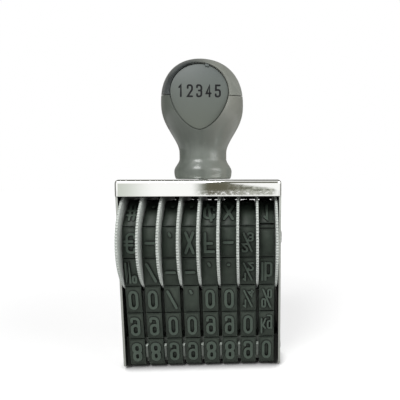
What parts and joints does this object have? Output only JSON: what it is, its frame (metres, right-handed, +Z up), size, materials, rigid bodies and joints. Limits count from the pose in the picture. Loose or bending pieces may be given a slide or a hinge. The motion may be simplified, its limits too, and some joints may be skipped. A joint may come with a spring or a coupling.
{
  "type": "multi-band rubber number stamp",
  "caption": "Hand stamp whose rubber number bands run over serrated thumb wheels and a narrow bridge in a chromed sheet frame, under a bulb handle with a smoked cap.",
  "frame": {"origin": "middle of the footprint, at the level of the printing face that the stamp stands on", "axes": "+X runs along the axle, across the bands; -Y is the front with the label; +Z is up, through the handle"},
  "size_m": [0.07, 0.0452, 0.1331],
  "materials": {
    "bright_chrome": "bright nickel-chrome plate on pressed sheet",
    "bright_steel": "plain bright steel",
    "band_rubber": "moulded dark green-grey rubber",
    "wheel_grey_plastic": "satin moulded light grey plastic",
    "handle_grey_plastic": "gloss moulded grey plastic",
    "crown_smoke_plastic": "gloss smoke-tinted plastic",
    "label_grey_plastic": "satin grey plate, left bare"
  },
  "bodies": {
    "stamp_frame": {"frame": "bright_chrome", "axle": "bright_steel", "axle_washer": "bright_steel", "bridge": "bright_steel", "handle": "handle_grey_plastic", "crown_cap": "crown_smoke_plastic", "label_plate": "label_grey_plastic", "handle_stud": "bright_steel", "bridge_rivet_1": "bright_steel", "bridge_rivet_2": "bright_steel", "bridge_rivet_3": "bright_steel", "bridge_rivet_4": "bright_steel", "number_band_1": "band_rubber", "number_band_2": "band_rubber", "number_band_3": "band_rubber", "number_band_4": "band_rubber", "number_band_5": "band_rubber", "number_band_6": "band_rubber", "number_band_7": "band_rubber", "number_band_8": "band_rubber"},
    "wheel_1": {"number_wheel_1": "wheel_grey_plastic"},
    "wheel_2": {"number_wheel_2": "wheel_grey_plastic"},
    "wheel_3": {"number_wheel_3": "wheel_grey_plastic"},
    "wheel_4": {"number_wheel_4": "wheel_grey_plastic"},
    "wheel_5": {"number_wheel_5": "wheel_grey_plastic"},
    "wheel_6": {"number_wheel_6": "wheel_grey_plastic"},
    "wheel_7": {"number_wheel_7": "wheel_grey_plastic"},
    "wheel_8": {"number_wheel_8": "wheel_grey_plastic", "end_disc": "wheel_grey_plastic"}
  },
  "joints": [
    {"name": "wheel_1_turn", "type": "hinge", "parent": "stamp_frame", "child": "wheel_1", "pos_m": [-0.0314, 0, 0.05564], "axis": [1, 0, 0], "continuous": true},
    {"name": "wheel_2_turn", "type": "hinge", "parent": "stamp_frame", "child": "wheel_2", "pos_m": [-0.02355, 0, 0.05564], "axis": [1, 0, 0], "continuous": true},
    {"name": "wheel_3_turn", "type": "hinge", "parent": "stamp_frame", "child": "wheel_3", "pos_m": [-0.0157, 0, 0.05564], "axis": [1, 0, 0], "continuous": true},
    {"name": "wheel_4_turn", "type": "hinge", "parent": "stamp_frame", "child": "wheel_4", "pos_m": [-0.00785, 0, 0.05564], "axis": [1, 0, 0], "continuous": true},
    {"name": "wheel_5_turn", "type": "hinge", "parent": "stamp_frame", "child": "wheel_5", "pos_m": [0, 0, 0.05564], "axis": [1, 0, 0], "continuous": true},
    {"name": "wheel_6_turn", "type": "hinge", "parent": "stamp_frame", "child": "wheel_6", "pos_m": [0.00785, 0, 0.05564], "axis": [1, 0, 0], "continuous": true},
    {"name": "wheel_7_turn", "type": "hinge", "parent": "stamp_frame", "child": "wheel_7", "pos_m": [0.0157, 0, 0.05564], "axis": [1, 0, 0], "continuous": true},
    {"name": "wheel_8_turn", "type": "hinge", "parent": "stamp_frame", "child": "wheel_8", "pos_m": [0.02355, 0, 0.05564], "axis": [1, 0, 0], "continuous": true}
  ]
}
